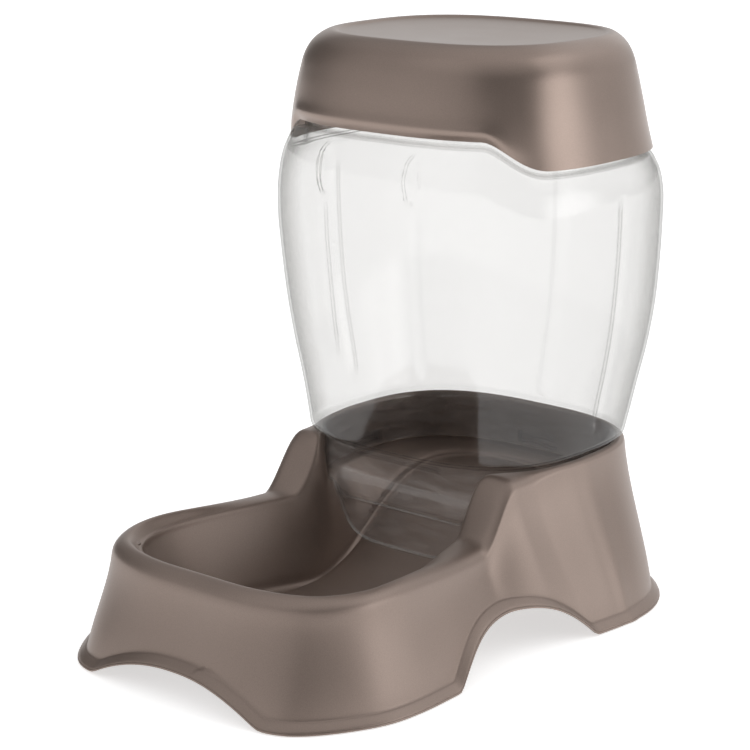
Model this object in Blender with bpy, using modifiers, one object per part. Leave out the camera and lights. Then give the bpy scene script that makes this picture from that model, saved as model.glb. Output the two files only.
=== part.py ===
"""Gravity pet feeder: a moulded base with a front bowl, a clear hopper that stands in the
base's collar, a lift-off lid and four rubber feet. Metres, +Z up, the bowl towards -Y.

The origin is the middle of the bounding box's underside. The hopper's own upright axis
stands at y = HOPPER_Y, and every shape below is drawn in millimetres round that axis.
"""

import math

import bmesh
import bpy
import numpy as np
from mathutils import Matrix

MM = 0.001

# Driving dimensions, in millimetres round the hopper's axis.
FRONT_Y = -255.65         # foremost point of the skirt's flange, over the front arch
REAR_Y = 94.75            # rearmost point of the hopper
HOPPER_Y = -(FRONT_Y + REAR_Y) / 2 * MM
SKIRT_Z = 0.6             # the skirt's lowest edge: the feet hold it just off the floor
COLLAR_Z = 93.0           # top of the collar that carries the hopper
COLLAR = (90.0, 79.5)     # half width and half depth of the collar's outer line
SEAT = (84.5, 74.0)       # the same for its inner line
ROUNDNESS = 2.8           # exponent of the superellipse that all the round outlines share
WALL = 2.0                # thickness of the base and the lid
CLEAR_WALL = 1.6          # thickness of the clear hopper
FIT_GAP = 0.35            # play between pieces that rest on each other

# Skirt: the flange that runs along its lower edge and the arches that leave four lobes.
FLANGE_OUT = 4.5
FLANGE_RISE = 5.5
FLANGE_LIP = 1.5
END_ARCH = (61.0, 16.0)             # half width and height of the front and rear arches
END_ARCH_POWER = 2.4                # how square the end arches are
END_REACH = 76.0                    # |x| beyond which the skirt belongs to the sides
SIDE_ARCH = (-148.0, -32.5, 26.5)   # front end, rear end and height of the hand-hold arches
SIDE_ARCH_POWER = 2.6
ARCH_BLEND = 1.5                    # how softly an arch runs out into the lobes beside it

# Bowl and chute.
BOWL_FLOOR_Z = 9.5
CHUTE_TOP_Z = 57.0
CHUTE = (-92.0, 50.0)     # y where the chute's slope starts and ends
FLOOR_FILLET = 9.0
LEDGE_Z = 63.5            # narrow ledge inside the collar, under the hopper's neck
LEDGE = (0.9, 8.5, 0.7)   # where it starts and ends in from the wall, and how far it falls
RIM_FRONT_Z = 65.5        # crest of the bowl's rim at the front
RIM_WAIST_Z = 60.5        # and at the waist, before the horns rise to the collar
WAIST = (-190.0, -95.0)   # y where the rim starts to sink and where it is lowest
RIM_SLOPE = 5.0           # how far the bowl's rim falls inwards at the front
RIM_WIDTH = 15.0          # a rim narrower than this has its rounding scaled down
SHOULDER = (8.0, 7.0)     # width and height of the rounding on the rim's outer side
INNER_EDGE = (4.0, 5.0)   # the same on its inner side
HORN = (-94.0, -61.0)     # y where the horns start to rise and where they are full height

# Guide lines of the base, right half, from the front centre to the rear centre. Every
# line has one point per station, so that point k of each line belongs to one section.
FLANGE_LINE = [(0, -257), (46, -257), (80, -248.5), (105.5, -212), (112, -180),
               (112, -142), (113.5, -108), (116, -76), (118.5, -48), (121, -28),
               (123.2, -10), (123.6, 6)]
TOP_LINE = [(0, -240), (38, -239), (71, -228), (88.5, -205), (93, -178), (90.5, -142),
            (87, -108), (82.5, -77), (83, -58), (86.5, -34), (89.3, -15), (90, 6)]
INNER_LINE = [(0, -224), (37, -221.5), (64, -210), (76, -190), (78, -168), (73, -137),
              (64, -105), (57, -76), (63, -60.5), (78.5, -40.5), (83.8, -18), (84.5, 6)]
FLOOR_LINE = [(0, -207), (25, -203), (45, -192), (54, -175), (55.5, -158), (52, -132),
              (47, -104), (46.5, -76), (47.5, -54), (50, -34), (52.5, -15), (54, 6)]
FLANGE_REAR = (123.7, 89.5, 2.3)    # half width, depth and exponent of the rear ends
FLOOR_REAR = (54.0, 58.0, 2.8)
REAR_STATIONS = 4                   # further stations round the rear corner
SEAT_STATION = 7                    # the station of the horn's tip

# Snap slots in the collar's inner wall: length, height and mid height.
SLOT = (30.0, 7.0, 69.5)
SLOT_DEPTH = 6.0          # depth of the box that cuts each of them
SIDE_SLOT_Y = 5.0

# Clear hopper: height, size as a share of the collar's outer line, and shift along y.
BEVEL = 1.0               # how much smaller its lowest ring is than the collar
BARREL = [(95.5, 1.0, 0), (110, 1.023, 0.8), (128, 1.060, 1.6), (150, 1.110, 2.0),
          (175, 1.152, 1.8), (200, 1.177, 1.0), (225, 1.192, 0), (242, 1.19, 0),
          (254, 1.165, 0), (261, 1.13, 0)]
SHOULDER_Z = 263.5        # the shoulder that the lid's edge comes down to
SHOULDER_IN = 0.5         # how far inside the lid's edge it starts
SHOULDER_RISE = 0.8       # how far it climbs to the neck
NECK = (93.5, 80.0)       # half width and depth of the upright neck inside the lid
NECK_TAPER = 1.2          # how much smaller it is at its top
NECK_TOP_Z = 287.0
SPOUT = (82.2, 71.7)      # half width and depth of the part that drops into the collar
SPOUT_FRONT = 62.0        # its front is flat, this far ahead of the axis
SPOUT_STEP = 3.0          # how much further forward it is just under the collar's top
SPOUT_END_Z = 65.0
GATE_LINE = [(0, 31.5), (15, 31.5), (24, 31.9), (32, 33.3), (38, 36.4), (42, 40.5),
             (45, 45.5), (47.2, 51), (49, 56.5), (50.6, 61), (52, 65)]
GATE_TOP_Z = 69.0         # the gate hangs into the throat: |x| and height of its lower edge
GATE_LEAN = 1.5           # how far it leans back towards that edge
NIB = (24.0, 3.6)         # length and height of the nibs behind the snap slots
NIB_REACH = (2.0, 0.9)    # their thickness, and how much of it stands out of the spout

# Lid: height, size as a share of its lower edge, and shift along y.
LID = (101.0, 88.2)
LID_EDGE_Z = 267.0
LID_SIDE = [(280, 0.978, -1.6), (294, 0.954, -2.4), (309, 0.923, -2.6), (319, 0.897, -2.4),
            (326, 0.860, -1.8), (330.5, 0.812, -0.9), (332.8, 0.765, 0)]
LID_DISH = [(332.6, 0.742, 0), (331.4, 0.715, 0), (330.4, 0.60, 0), (329.6, 0.35, 0)]
LID_CENTRE_Z = 329.4      # the lowest point of the dish in its top
LID_BAND = 5.0            # least height of the first ring over the lid's edge
FRONT_RAISE = 16.0        # how much higher the lid's edge and the shoulder are in front
FRONT_PULL = 0.028        # how much the raised edge draws in, as a share of its size
RAISE_SPAN = (0.66, 0.93)  # |x| / half width where the raised front ends and has ended
RAISE_START = (225, 261)  # heights on the hopper between which the raised front grows

# Rubber feet and the posts that hold them.
FOOT_SPOTS = {"front": (74.0, -210.0), "rear": (75.0, 50.0)}
POST_RADIUS = 5.5
POST_TOPS = {"front": 61.0, "rear": 62.4}
PAD_RADIUS = 7.0
PAD_HEIGHT = 2.4
STEM_RADIUS = 2.4
STEM_TOP_Z = 9.0

# Sampling.
STEPS_PER_STATION = 2
FLOOR_COLUMNS = 4
HOPPER_SEGMENTS = 48
LID_SEGMENTS = 44


def smoothstep(value, low, high):
    """0 below low, 1 above high and a smooth S between them."""
    share = np.clip((np.asarray(value, float) - low) / (high - low), 0.0, 1.0)
    return share * share * (3.0 - 2.0 * share)


def superellipse(half_width, half_depth, angle, exponent=ROUNDNESS):
    """The point of a superellipse at an angle, measured from +X towards +Y."""
    cos, sin = math.cos(angle), math.sin(angle)
    power = 2.0 / exponent
    x = half_width * math.copysign(abs(cos) ** power, cos)
    y = half_depth * math.copysign(abs(sin) ** power, sin)
    return x, y


def smooth_line(points, steps):
    """A Catmull-Rom line through the points, which meets the plane x = 0 squarely."""
    first, last = points[1], points[-2]
    padded = [(-first[0], first[1])] + list(points) + [(-last[0], last[1])]
    knots = np.array(padded, float)
    line = []
    for k in range(1, len(knots) - 2):
        before, start, end, after = knots[k - 1:k + 3]
        for i in range(steps):
            t = i / steps
            line.append(0.5 * (2 * start + (end - before) * t
                               + (2 * before - 5 * start + 4 * end - after) * t ** 2
                               + (3 * start - before - 3 * end + after) * t ** 3))
    line.append(knots[-2])
    return np.array(line)


def rear_points(start_y, half_width, half_depth, exponent=ROUNDNESS):
    """Control points from the side at start_y round the rear corner to the rear centre."""
    start = math.asin((start_y / half_depth) ** (exponent / 2))
    angles = np.linspace(start, math.pi / 2, REAR_STATIONS + 1)[1:]
    return [superellipse(half_width, half_depth, a, exponent) for a in angles]


def guide_line(front, rear_size, steps):
    """One guide line of the base: its listed front part, then its round rear end."""
    return smooth_line(list(front) + rear_points(front[-1][1], *rear_size), steps)


def plan_normals(line):
    """Outward unit normals of a guide line, in plan."""
    along = np.gradient(line, axis=0)
    along[0], along[-1] = (1, 0), (-1, 0)
    normals = np.stack([along[:, 1], -along[:, 0]], axis=1)
    return normals / np.linalg.norm(normals, axis=1)[:, None]


def rim_height(y):
    """Crest of the base's rim: the bowl's rim, the horns' rise and the flat collar."""
    bowl = RIM_FRONT_Z + (RIM_WAIST_Z - RIM_FRONT_Z) * smoothstep(y, *WAIST)
    return bowl + (COLLAR_Z - RIM_WAIST_Z) * smoothstep(y, *HORN)


def floor_height(y):
    """The bowl's floor, and the chute that climbs from it to the rear of the collar."""
    return BOWL_FLOOR_Z + (CHUTE_TOP_Z - BOWL_FLOOR_Z) * smoothstep(y, *CHUTE)


def skirt_height(x, y):
    """Lower edge of the skirt: four lobes with arches between them."""
    half, rise = END_ARCH
    across = rise * (1 - np.abs(x / half) ** END_ARCH_POWER)
    start, stop, height = SIDE_ARCH
    along = (y - start) / (stop - start)
    side = height * (1 - np.abs(2 * along - 1) ** SIDE_ARCH_POWER)
    arch = np.where(np.abs(x) < END_REACH, across, side)
    return SKIRT_Z + 0.5 * (arch + np.sqrt(arch ** 2 + ARCH_BLEND ** 2))


def base_sections(steps):
    """Rows of points of the base's outer skin, from the flange to the floor's edge."""
    flange = guide_line(FLANGE_LINE, FLANGE_REAR, steps)
    top = guide_line(TOP_LINE, COLLAR, steps)
    inner = guide_line(INNER_LINE, SEAT, steps)
    floor = guide_line(FLOOR_LINE, FLOOR_REAR, steps)
    outward = plan_normals(flange)
    foot = flange - outward * FLANGE_OUT
    station = np.arange(len(foot)) / steps

    # Rounding of the rim, scaled down where the rim is narrow.
    crest = rim_height(top[:, 1])
    width = np.linalg.norm(top - inner, axis=1)
    scale = np.minimum(1.0, width / RIM_WIDTH)
    slope = RIM_SLOPE * (1 - smoothstep(top[:, 1], *WAIST))
    outer_drop = SHOULDER[1] * scale
    inner_drop = slope + INNER_EDGE[1] * scale
    top_z = crest - outer_drop
    inner_z = crest - inner_drop
    floor_z = floor_height(floor[:, 1])
    edge_z = skirt_height(flange[:, 0], flange[:, 1])

    def wall(z):
        """The outer wall at height z, leaning out towards the floor."""
        share = np.clip(1 - z / top_z, 0, 1)[:, None]
        lean = 0.5 * share + 0.5 * share * share * (3 - 2 * share)
        return top + (foot - top) * lean

    def row(plan, z):
        return np.column_stack([plan, np.broadcast_to(z, len(plan))])

    rows = [row(wall(edge_z) + outward * FLANGE_OUT, edge_z),
            row(wall(edge_z) + outward * FLANGE_OUT, edge_z + FLANGE_LIP),
            row(wall(edge_z + FLANGE_RISE), edge_z + FLANGE_RISE)]
    for share in (0.33, 0.67, 1.0):
        z = edge_z + FLANGE_RISE + (top_z - edge_z - FLANGE_RISE) * share
        rows.append(row(wall(z), z))

    # The rim: a rounded shoulder, a gentle fall inwards and a tighter inner edge.
    shoulder = SHOULDER[0] * scale / width
    edge = INNER_EDGE[0] * scale / width
    for turn in (30, 60, 90):
        angle = math.radians(turn)
        share = (shoulder * (1 - math.cos(angle)))[:, None]
        rows.append(row(top + (inner - top) * share, top_z + outer_drop * math.sin(angle)))
    for turn in (80, 50, 0):
        angle = math.radians(turn)
        share = (edge * (1 - math.cos(angle)))[:, None]
        rows.append(row(inner + (top - inner) * share,
                        inner_z + INNER_EDGE[1] * scale * math.sin(angle)))
    end = rows[-1]

    # The ledge under the hopper runs round the collar and dies out past the horns.
    seated = smoothstep(station, SEAT_STATION + 0.2, SEAT_STATION + 1.4)[:, None]
    inward = (floor - inner) / np.linalg.norm(floor - inner, axis=1)[:, None]
    above = np.where(seated[:, 0] > 0.5, LEDGE_Z, inner_z) - floor_z
    fillet = np.minimum(FLOOR_FILLET, 0.45 * above)
    foot_of_wall = row(floor + (inner - floor) * 0.3, floor_z + fillet)
    ledge_outer = row(inner + inward * LEDGE[0], LEDGE_Z)
    ledge_inner = row(inner + inward * LEDGE[1], LEDGE_Z - LEDGE[2])
    for share, ledge in ((0.4, ledge_outer), (0.7, ledge_inner)):
        plain = end + (foot_of_wall - end) * share
        rows.append(plain + (ledge - plain) * seated)
    rows.append(foot_of_wall)
    corner = row(floor + (inner - floor) * 0.2, floor_z)
    floor_row = row(floor, floor_z)
    rows.append(0.25 * foot_of_wall + 0.5 * corner + 0.25 * floor_row)
    rows.append(floor_row)
    return rows


def close_loop(half):
    """A half line from the front centre to the rear centre, and its mirror image."""
    return np.vstack([half, half[-2:0:-1] * (-1, 1, 1)])


def collection(name):
    made = bpy.data.collections.new(name)
    bpy.context.scene.collection.children.link(made)
    return made


def new_object(name, mesh, where, material=None):
    obj = bpy.data.objects.new(name, mesh)
    where.objects.link(obj)
    obj.location.y = HOPPER_Y
    if material:
        mesh.materials.append(material)
    return obj


def lofted_mesh(name, rings, tip=None):
    """A surface through closed rings of points in millimetres, closed by a tip point."""
    bm = bmesh.new()
    loops = [[bm.verts.new(p * MM) for p in ring] for ring in rings]
    for lower, upper in zip(loops, loops[1:]):
        for i in range(len(lower)):
            bm.faces.new((lower[i - 1], lower[i], upper[i], upper[i - 1]))
    if tip is not None:
        centre = bm.verts.new(np.array(tip) * MM)
        last = loops[-1]
        for i in range(len(last)):
            bm.faces.new((last[i - 1], last[i], centre))
    return finish_mesh(name, bm)


def finish_mesh(name, bm):
    mesh = bpy.data.meshes.new(name)
    bm.to_mesh(mesh)
    bm.free()
    mesh.shade_smooth()
    mesh.set_sharp_from_angle(angle=math.radians(40))
    return mesh


def thicken(obj, thickness):
    """Give an open skin its wall, on the inner side of its faces."""
    solidify = obj.modifiers.new("wall", "SOLIDIFY")
    solidify.thickness = thickness * MM
    solidify.offset = -1.0
    solidify.use_even_offset = True
    solidify.thickness_clamp = 0


def cut(obj, cutter, operation="DIFFERENCE"):
    boolean = obj.modifiers.new(cutter.name, "BOOLEAN")
    boolean.operation = operation
    boolean.object = cutter
    cutter.hide_render = True
    cutter.display_type = "WIRE"


def box_mesh(name, size, centre):
    bm = bmesh.new()
    bmesh.ops.create_cube(bm, size=1.0)
    bmesh.ops.scale(bm, vec=np.array(size) * MM, verts=bm.verts)
    bmesh.ops.translate(bm, vec=np.array(centre) * MM, verts=bm.verts)
    return finish_mesh(name, bm)


def cylinder_mesh(name, radius, low, high, spot, segments=20):
    bm = bmesh.new()
    place = Matrix.Translation(np.array([*spot, (low + high) / 2]) * MM)
    bmesh.ops.create_cone(bm, cap_ends=True, segments=segments, radius1=radius * MM,
                          radius2=radius * MM, depth=(high - low) * MM, matrix=place)
    return finish_mesh(name, bm)


def foot_spots():
    """Name and place of each of the four feet."""
    for end, (x, y) in FOOT_SPOTS.items():
        for side, sign in (("left", -1), ("right", 1)):
            yield end, side, (sign * x, y)


def make_base(parts, cutters, material):
    """Skirt, rim, bowl, chute and collar: one moulded skin with a wall behind it."""
    rows = base_sections(STEPS_PER_STATION)
    bm = bmesh.new()
    loops = [[bm.verts.new(p * MM) for p in close_loop(row)] for row in rows]
    for lower, upper in zip(loops, loops[1:]):
        for i in range(len(lower)):
            bm.faces.new((lower[i - 1], lower[i], upper[i], upper[i - 1]))

    # The floor is a strip of rows from its left edge to its right edge.
    edge = loops[-1]
    rear = len(rows[-1]) - 1
    columns = FLOOR_COLUMNS
    strips = [[edge[0]] * (columns + 1)]
    for j in range(1, rear):
        right, left = edge[j], edge[-j]
        inside = [bm.verts.new(left.co.lerp(right.co, k / columns))
                  for k in range(1, columns)]
        strips.append([left] + inside + [right])
    strips.append([edge[rear]] * (columns + 1))
    for front, back in zip(strips, strips[1:]):
        for k in range(columns):
            corners = dict.fromkeys((front[k], front[k + 1], back[k + 1], back[k]))
            bm.faces.new(list(corners))
    base = new_object("base", finish_mesh("base", bm), parts, material)
    thicken(base, WALL)

    posts = [cylinder_mesh("post", POST_RADIUS, PAD_HEIGHT + FIT_GAP, POST_TOPS[end], spot)
             for end, _, spot in foot_spots()]
    for (end, side, _), mesh in zip(foot_spots(), posts):
        post = new_object(f"post_{end}_{side}", mesh, cutters)
        cut(base, post, "UNION")
    for end, side, spot in foot_spots():
        hole = cylinder_mesh("hole", STEM_RADIUS + FIT_GAP, 0, STEM_TOP_Z + 1, spot, 16)
        cut(base, new_object(f"hole_{end}_{side}", hole, cutters))

    length, height, mid_z = SLOT
    for sign in (-1, 1):
        centre = (sign * SEAT[0], SIDE_SLOT_Y, mid_z)
        slot = box_mesh("slot", (SLOT_DEPTH, length, height), centre)
        cut(base, new_object(f"slot_{sign:+d}", slot, cutters))
    slot = box_mesh("slot", (length, SLOT_DEPTH, height), (0, SEAT[1], mid_z))
    cut(base, new_object("slot_rear", slot, cutters))
    return base


def front_raise(x, y, half_width):
    """1 in the middle of the front, 0 round the sides and rear."""
    share = 1 - smoothstep(abs(x) / half_width, *RAISE_SPAN)
    return float(share) if y < 0 else 0.0


def hopper_rings(segments):
    """Rings of the clear hopper's outer skin, from the gate up to the neck's top."""
    angles = [2 * math.pi * i / segments - math.pi / 2 for i in range(segments)]
    rings = []

    # Spout: a superellipse with a flat front, whose middle hangs down as the gate.
    across, edge = zip(*GATE_LINE)
    for drop in (1.0, 0.75, 0.5, 0.25, 0.0):
        flat = SPOUT_FRONT - GATE_LEAN * drop
        ring = []
        for angle in angles:
            x, y = superellipse(*SPOUT, angle)
            low = float(np.interp(abs(x), across, edge)) if y < 0 else SPOUT_END_Z
            ring.append((x, max(y, -flat), GATE_TOP_Z + (low - GATE_TOP_Z) * drop))
        rings.append(ring)
    for z, flat in ((80.0, SPOUT_FRONT), (88.0, SPOUT_FRONT + SPOUT_STEP)):
        ring = [superellipse(*SPOUT, a) for a in angles]
        rings.append([(x, max(y, -flat), z) for x, y in ring])
    rings.append([(*superellipse(*SPOUT, a), COLLAR_Z + FIT_GAP + CLEAR_WALL) for a in angles])
    rings.append([(*superellipse(COLLAR[0] - BEVEL, COLLAR[1] - BEVEL, a),
                   COLLAR_Z + FIT_GAP + CLEAR_WALL) for a in angles])

    # Barrel, shoulder and neck. The top of the barrel is lifted across the front.
    profile = [(z, COLLAR[0] * share, COLLAR[1] * share, shift)
               for z, share, shift in BARREL]
    profile += [(SHOULDER_Z, LID[0] - SHOULDER_IN, LID[1] - SHOULDER_IN, 0),
                (SHOULDER_Z + SHOULDER_RISE, *NECK, 0)]
    for z, half_width, half_depth, shift in profile:
        lift = FRONT_RAISE * float(smoothstep(z, *RAISE_START))
        ring = []
        for angle in angles:
            x, y = superellipse(half_width, half_depth, angle)
            ring.append((x, y + shift, z + lift * front_raise(x, y, half_width)))
        rings.append(ring)
    top = [size - NECK_TAPER for size in NECK]
    rings.append([(*superellipse(*top, a), NECK_TOP_Z) for a in angles])
    return [np.array(ring) for ring in rings]


def make_hopper(parts, cutters, material):
    """The clear hopper, open at its top and at its spout."""
    mesh = lofted_mesh("hopper", hopper_rings(HOPPER_SEGMENTS))
    hopper = new_object("hopper", mesh, parts, material)
    thicken(hopper, CLEAR_WALL)
    length, height = NIB
    reach, proud = NIB_REACH
    for sign in (-1, 1):
        centre = (sign * (SPOUT[0] + proud - reach / 2), SIDE_SLOT_Y, SLOT[2])
        nib = box_mesh("nib", (reach, length, height), centre)
        cut(hopper, new_object(f"nib_{sign:+d}", nib, cutters), "UNION")
    centre = (0, SPOUT[1] + proud - reach / 2, SLOT[2])
    nib = box_mesh("nib", (length, reach, height), centre)
    cut(hopper, new_object("nib_rear", nib, cutters), "UNION")
    return hopper


def lid_rings(segments):
    """Rings of the lid's outer skin, from its lower edge to the middle of its dish."""
    angles = [2 * math.pi * i / segments - math.pi / 2 for i in range(segments)]
    edge = []
    for angle in angles:
        x, y = superellipse(*LID, angle)
        raised = front_raise(x, y, LID[0])
        shrink = 1 - FRONT_PULL * raised
        edge.append((x * shrink, y * shrink, LID_EDGE_Z + FRONT_RAISE * raised))
    rings = [edge]
    for z, share, shift in LID_SIDE + LID_DISH:
        ring = []
        for angle, (_, _, low) in zip(angles, edge):
            x, y = superellipse(LID[0] * share, LID[1] * share, angle)
            ring.append((x, y + shift, max(z, low + LID_BAND)))
        rings.append(ring)
    return [np.array(ring) for ring in rings]


def make_lid(parts, material):
    rings = lid_rings(LID_SEGMENTS)
    mesh = lofted_mesh("lid", rings, tip=(0, 0, LID_CENTRE_Z))
    lid = new_object("lid", mesh, parts, material)
    thicken(lid, WALL)
    return lid


def make_feet(parts, cutters, material):
    """A rubber pad under each post, with a stem pressed up into it."""
    for end, side, spot in foot_spots():
        name = f"foot_{end}_{side}"
        foot = new_object(name, cylinder_mesh(name, PAD_RADIUS, 0, PAD_HEIGHT, spot), parts,
                          material)
        stem = cylinder_mesh("stem", STEM_RADIUS, 1.0, STEM_TOP_Z, spot, 16)
        cut(foot, new_object(f"stem_{end}_{side}", stem, cutters), "UNION")


def make_material(name, colour, roughness, metallic=0.0, alpha=1.0):
    material = bpy.data.materials.new(name)
    material.use_nodes = True
    shader = material.node_tree.nodes["Principled BSDF"]
    shader.inputs["Base Color"].default_value = (*colour, 1.0)
    shader.inputs["Roughness"].default_value = roughness
    shader.inputs["Metallic"].default_value = metallic
    shader.inputs["Alpha"].default_value = alpha
    material.diffuse_color = (*colour, alpha)
    return material


def main():
    for obj in list(bpy.data.objects):
        bpy.data.objects.remove(obj)
    parts = collection("pet_feeder")
    cutters = collection("cutters")
    pearl = make_material("pearl_taupe", (0.20, 0.155, 0.135), 0.38, metallic=0.35)
    clear = make_material("clear_plastic", (0.92, 0.93, 0.93), 0.06, alpha=0.3)
    rubber = make_material("rubber", (0.05, 0.05, 0.05), 0.8)
    make_base(parts, cutters, pearl)
    make_hopper(parts, cutters, clear)
    make_lid(parts, pearl)
    make_feet(parts, cutters, rubber)


main()
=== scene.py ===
"""Looks of the gravity pet feeder: a pearl moulded base, a clear hopper, a lift-off lid and
rubber feet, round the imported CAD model. Metres, +Z up, the bowl towards -Y.

The shapes are drawn in millimetres round the hopper's own upright axis, at y = HOPPER_Y. A
guide line of the base runs in plan from the front centre to the rear centre. A place along
it is a station: its listed points are 0, 1, 2 and so on, then come the rear stations.
"""

import math

import bmesh
import bpy
import numpy as np
from mathutils import Matrix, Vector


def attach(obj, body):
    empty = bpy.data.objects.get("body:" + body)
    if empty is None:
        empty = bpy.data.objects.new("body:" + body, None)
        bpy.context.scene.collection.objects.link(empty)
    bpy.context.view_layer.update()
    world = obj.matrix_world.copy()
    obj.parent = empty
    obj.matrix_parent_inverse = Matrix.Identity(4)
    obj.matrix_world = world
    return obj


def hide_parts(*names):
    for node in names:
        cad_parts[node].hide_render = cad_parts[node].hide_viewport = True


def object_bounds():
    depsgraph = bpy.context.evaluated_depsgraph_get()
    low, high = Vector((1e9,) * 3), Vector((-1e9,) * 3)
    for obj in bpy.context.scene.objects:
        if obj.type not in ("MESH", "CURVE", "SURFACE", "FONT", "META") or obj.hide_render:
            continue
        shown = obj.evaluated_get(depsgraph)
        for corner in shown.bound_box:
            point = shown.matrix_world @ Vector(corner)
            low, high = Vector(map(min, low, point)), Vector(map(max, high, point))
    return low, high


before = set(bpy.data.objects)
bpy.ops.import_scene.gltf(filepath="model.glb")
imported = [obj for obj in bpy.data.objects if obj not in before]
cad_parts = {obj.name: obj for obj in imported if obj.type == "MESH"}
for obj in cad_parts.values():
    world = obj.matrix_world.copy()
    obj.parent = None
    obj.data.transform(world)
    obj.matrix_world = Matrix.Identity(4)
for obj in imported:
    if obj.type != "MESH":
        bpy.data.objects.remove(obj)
CAD_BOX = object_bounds()

MM = 0.001
INSIDE_BOX = 0.02         # how far every piece stays inside the CAD model's box

# Driving dimensions, the same as the CAD model's.
FRONT_Y = -255.65
REAR_Y = 94.75
HOPPER_Y = -(FRONT_Y + REAR_Y) / 2
SKIRT_Z = 0.6
COLLAR_Z = 93.0
COLLAR = (90.0, 79.5)
SEAT = (84.5, 74.0)
ROUNDNESS = 2.8
WALL = 2.0
CLEAR_WALL = 1.6
FIT_GAP = 0.35
FLANGE_OUT = 4.5
END_ARCH = (61.0, 16.0)
SIDE_ARCH = (-148.0, -32.5, 26.5)
ARCH_BLEND = 1.5
BOWL_FLOOR_Z = 9.5
CHUTE_TOP_Z = 57.0
CHUTE = (-92.0, 50.0)
FLOOR_FILLET = 9.0
LEDGE_Z = 63.5
RIM_FRONT_Z = 65.5
RIM_WAIST_Z = 60.5
WAIST = (-190.0, -95.0)
RIM_SLOPE = 5.0
HORN = (-94.0, -61.0)
FLANGE_LINE = [(0, -257), (46, -257), (80, -248.5), (105.5, -212), (112, -180),
               (112, -142), (113.5, -108), (116, -76), (118.5, -48), (121, -28),
               (123.2, -10), (123.6, 6)]
TOP_LINE = [(0, -240), (38, -239), (71, -228), (88.5, -205), (93, -178), (90.5, -142),
            (87, -108), (82.5, -77), (83, -58), (86.5, -34), (89.3, -15), (90, 6)]
INNER_LINE = [(0, -224), (37, -221.5), (64, -210), (76, -190), (78, -168), (73, -137),
              (64, -105), (57, -76), (63, -60.5), (78.5, -40.5), (83.8, -18), (84.5, 6)]
FLOOR_LINE = [(0, -207), (25, -203), (45, -192), (54, -175), (55.5, -158), (52, -132),
              (47, -104), (46.5, -76), (47.5, -54), (50, -34), (52.5, -15), (54, 6)]
FLANGE_REAR = (123.7, 89.5, 2.3)
FLOOR_REAR = (54.0, 58.0, 2.8)
REAR_STATIONS = 4
SLOT = (30.0, 7.0, 69.5)
SIDE_SLOT_Y = 5.0
BARREL = [(110, 1.023, 0.8), (128, 1.060, 1.6), (150, 1.110, 2.0), (175, 1.152, 1.8),
          (200, 1.177, 1.0), (225, 1.192, 0), (242, 1.19, 0), (254, 1.165, 0), (261, 1.13, 0)]
SHOULDER_Z = 263.5
NECK = (93.5, 80.0)
NECK_TOP_Z = 287.0
SPOUT = (82.2, 71.7)
SPOUT_FRONT = 62.0
SPOUT_END_Z = 65.0
NIB = (24.0, 3.6, 2.0, 0.9)   # length, height, reach, and how far it stands out
LID = (101.0, 88.2)
LID_EDGE_Z = 267.0
LID_SIDE = [(280, 0.978, -1.6), (294, 0.954, -2.4), (309, 0.923, -2.6), (319, 0.897, -2.4),
            (326, 0.860, -1.8), (330.5, 0.812, -0.9), (332.8, 0.765, 0)]
LID_DISH = [(332.6, 0.742, 0), (331.4, 0.715, 0), (330.4, 0.60, 0), (329.6, 0.35, 0)]
LID_BAND = 5.0
FRONT_PULL = 0.028
FRONT_RAISE = 16.0
RAISE_SPAN = (0.66, 0.93)
FOOT_SPOTS = {"front": (74.0, -210.0), "rear": (75.0, 50.0)}
POST_RADIUS = 5.5
POST_TOPS = {"front": 61.0, "rear": 62.4}
PAD_HEIGHT = 2.4
STEM_RADIUS = 2.4
STEM_TOP_Z = 9.0

# The flange's outer and inner face, as (out, up) pairs from the wall and the lower edge.
FLANGE_FACE = [(3.9, 0.0), (4.35, 0.12), (4.5, 0.45), (4.5, 0.95), (4.35, 1.15),
               (4.02, 1.22), (3.98, 1.42), (4.2, 1.55), (4.15, 1.9), (3.55, 2.7),
               (2.85, 3.5), (2.1, 4.3), (1.4, 5.0), (1.05, 5.32), (0.55, 5.5), (0.2, 5.8),
               (0.05, 6.4)]
FLANGE_BACK = [(2.5, 0.0), (2.3, 0.9), (-1.7, 4.4)]
ABOVE_FLANGE = 0.8
MARKED_ROWS = len(FLANGE_FACE) + 4
ARCH_MARK = (22.5, 10.5, 7.0, 0.25)   # centre, half width, height and how far it stands

# Fine shape of the rim, the bowl and the collar.
EVEN = 0.18               # how far a guide line's bends are evened out, in stations
FLANK_EVEN = 0.7
FLANK = (4.0, 5.5)
EVEN_END = (8.0, 10.0)
RIM_WIDTH = 15.0          # the rim's roundings shrink where it is narrower than this
SHOULDER = (10.0, 9.0)    # how far the rounding goes in and down
INNER_EDGE = (4.0, 5.0)
LEDGE = [(0.4, 0.9, LEDGE_Z), (0.7, 8.5, LEDGE_Z - 0.7)]    # share of the side, reach, z
LEDGE_CORNERS = [(9, 2.0), (8, 1.2)]    # row and radius, the higher row first
SEATED = (7.2, 9.2)       # stations where the ledge starts
CREASE = (5.4, 7.0)       # stations where the floor's edge turns from soft to tight
CREASE_FILLET = 6.5
FOOT_SHARE = (0.3, 0.12)
POCKET_WALL = (2.0, 1.5)
SIDE_POCKET = (4.25, 6.5, 13.0)    # middle behind the seat, depth outside, depth of the cut
REAR_POCKET = (2.9, 3.4, 6.0)

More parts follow.
